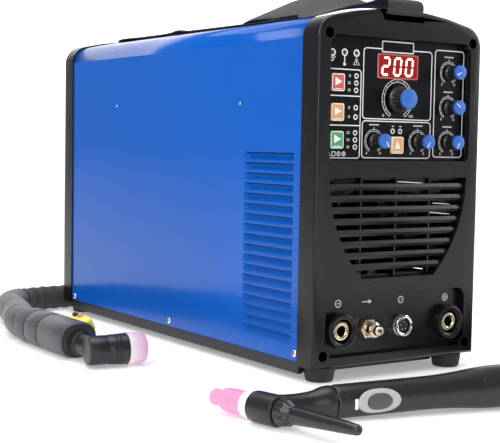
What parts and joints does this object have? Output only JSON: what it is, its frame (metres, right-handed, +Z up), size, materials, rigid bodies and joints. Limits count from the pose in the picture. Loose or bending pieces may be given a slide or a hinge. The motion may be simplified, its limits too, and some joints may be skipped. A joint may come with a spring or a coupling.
{
  "type": "tig welder",
  "caption": "Portable inverter welding machine in a steel cover with plastic end bezels, front controls and sockets, a carry strap, a TIG torch and a plasma cutting torch with coiled cables.",
  "frame": {"origin": "centre of the base pan's underside", "axes": "+X to the right seen from the front, +Y to the back, +Z up"},
  "size_m": [0.5073, 0.9506, 0.3517],
  "materials": {
    "black_plastic": "fine moulded grain, satin",
    "black_paint": "satin powder coat",
    "blue_paint": "gloss enamel",
    "rubber": "matt moulded rubber",
    "panel_print": "printed film, satin",
    "red_window": "tinted red window with a lit numeric display",
    "brass": "machined",
    "nickel": "nickel-plated brass, machined",
    "chrome": "polished",
    "webbing": "woven polyester webbing",
    "circuit_board": "solder mask",
    "aluminium": "extruded",
    "ferrite": "wound coil with tape",
    "pink_ceramic": "unglazed alumina",
    "white_insulator": "moulded",
    "torch_black": "moulded grip, fine grain",
    "torch_grey": "moulded grip, fine grain",
    "pale_grey": "moulded",
    "yellow_plastic": "translucent moulded",
    "cable": "extruded rubber sheath",
    "sleeve": "woven textile hose cover",
    "red_button": "moulded key",
    "orange_button": "moulded key",
    "green_button": "moulded key",
    "knob_black": "moulded knob with a blue cap"
  },
  "bodies": {
    "machine": {"front_bezel": "black_plastic", "rear_bezel": "black_plastic", "cover": "blue_paint", "base_pan": "black_paint", "foot_front_left": "rubber", "foot_front_right": "rubber", "foot_rear_left": "rubber", "foot_rear_right": "rubber", "control_panel": "panel_print", "display_window": "red_window", "front_grille": "black_plastic", "connector_plate": "black_paint", "socket_collar_negative": "black_plastic", "socket_insert_negative": "brass", "socket_collar_positive": "black_plastic", "socket_insert_positive": "brass", "gas_outlet": "nickel", "control_socket": "chrome", "carry_strap": "webbing", "control_board": "circuit_board", "power_board": "circuit_board", "heatsink": "aluminium", "main_transformer": "ferrite", "fan_frame": "black_plastic", "solenoid_valve": "brass", "gas_inlet": "brass", "cable_gland": "black_plastic"},
    "current_knob_body": {"current_knob": "knob_black"},
    "pre_flow_knob_body": {"pre_flow_knob": "knob_black"},
    "post_flow_knob_body": {"post_flow_knob": "knob_black"},
    "down_slope_knob_body": {"down_slope_knob": "knob_black"},
    "frequency_knob_body": {"frequency_knob": "knob_black"},
    "balance_knob_body": {"balance_knob": "knob_black"},
    "process_button_body": {"process_button": "red_button"},
    "gas_button_body": {"gas_button": "orange_button"},
    "trigger_mode_button_body": {"trigger_mode_button": "green_button"},
    "output_button_body": {"output_button": "orange_button"},
    "fan_rotor_body": {"fan_rotor": "black_plastic"},
    "power_switch_body": {"power_switch": "black_plastic"},
    "tig_torch": {"tig_nozzle": "pink_ceramic", "tig_insulator": "white_insulator", "tig_head": "torch_black", "tig_back_cap": "torch_black", "tig_handle": "torch_black", "tig_switch_bezel": "pale_grey", "tig_strain_relief": "rubber", "tig_cable": "cable", "tig_coil": "cable", "tig_plug": "rubber"},
    "tig_switch_button_body": {"tig_switch_button": "torch_black"},
    "plasma_torch": {"plasma_head": "torch_black", "plasma_cup": "pink_ceramic", "plasma_handle": "torch_grey", "plasma_segment_1": "torch_grey", "plasma_segment_2": "torch_grey", "plasma_segment_3": "torch_grey", "plasma_sleeve": "sleeve", "plasma_coil": "cable", "plasma_connector": "torch_black"},
    "plasma_trigger_body": {"plasma_trigger": "yellow_plastic"}
  },
  "joints": [
    {"name": "current_knob_turn", "type": "hinge", "parent": "machine", "child": "current_knob_body", "pos_m": [-0.0005, -0.255, 0.2435], "axis": [0, 1, 0], "range_deg": [-300, 0]},
    {"name": "pre_flow_knob_turn", "type": "hinge", "parent": "machine", "child": "pre_flow_knob_body", "pos_m": [0.0605, -0.255, 0.2698], "axis": [0, 1, 0], "range_deg": [-33, 267]},
    {"name": "post_flow_knob_turn", "type": "hinge", "parent": "machine", "child": "post_flow_knob_body", "pos_m": [0.0605, -0.255, 0.2378], "axis": [0, 1, 0], "range_deg": [-96, 204]},
    {"name": "down_slope_knob_turn", "type": "hinge", "parent": "machine", "child": "down_slope_knob_body", "pos_m": [0.0605, -0.255, 0.2058], "axis": [0, 1, 0], "range_deg": [0, 300]},
    {"name": "frequency_knob_turn", "type": "hinge", "parent": "machine", "child": "frequency_knob_body", "pos_m": [-0.0268, -0.255, 0.2058], "axis": [0, 1, 0], "range_deg": [-298, 2]},
    {"name": "balance_knob_turn", "type": "hinge", "parent": "machine", "child": "balance_knob_body", "pos_m": [0.0245, -0.255, 0.2058], "axis": [0, 1, 0], "range_deg": [-5, 295]},
    {"name": "process_button_press", "type": "slide", "parent": "machine", "child": "process_button_body", "axis": [0, 1, 0], "range_m": [0, 0.0012], "stiffness_N_per_m": 600},
    {"name": "gas_button_press", "type": "slide", "parent": "machine", "child": "gas_button_body", "axis": [0, 1, 0], "range_m": [0, 0.0012], "stiffness_N_per_m": 600},
    {"name": "trigger_mode_button_press", "type": "slide", "parent": "machine", "child": "trigger_mode_button_body", "axis": [0, 1, 0], "range_m": [0, 0.0012], "stiffness_N_per_m": 600},
    {"name": "output_button_press", "type": "slide", "parent": "machine", "child": "output_button_body", "axis": [0, 1, 0], "range_m": [0, 0.0012], "stiffness_N_per_m": 600},
    {"name": "fan_spin", "type": "hinge", "parent": "machine", "child": "fan_rotor_body", "pos_m": [0, 0.215, 0.1575], "axis": [0, 1, 0], "continuous": true},
    {"name": "power_switch_rock", "type": "hinge", "parent": "machine", "child": "power_switch_body", "pos_m": [-0.048, 0.249, 0.2635], "axis": [1, 0, 0], "range_deg": [0, 10]},
    {"name": "tig_torch_lift", "type": "slide", "parent": "machine", "child": "tig_torch", "axis": [0, 0, 1], "range_m": [0, 0.15]},
    {"name": "tig_switch_press", "type": "slide", "parent": "tig_torch", "child": "tig_switch_button_body", "axis": [0.2079, 0.9781, 0], "range_m": [0, 0.0014], "stiffness_N_per_m": 600},
    {"name": "plasma_torch_lift", "type": "slide", "parent": "machine", "child": "plasma_torch", "axis": [0, 0, 1], "range_m": [0, 0.15]},
    {"name": "plasma_trigger_press", "type": "hinge", "parent": "plasma_torch", "child": "plasma_trigger_body", "pos_m": [-0.20361, 0.013, 0.0191], "axis": [0.5, 0, -0.866], "range_deg": [0, 6], "stiffness_Nm_per_rad": 0.6}
  ]
}
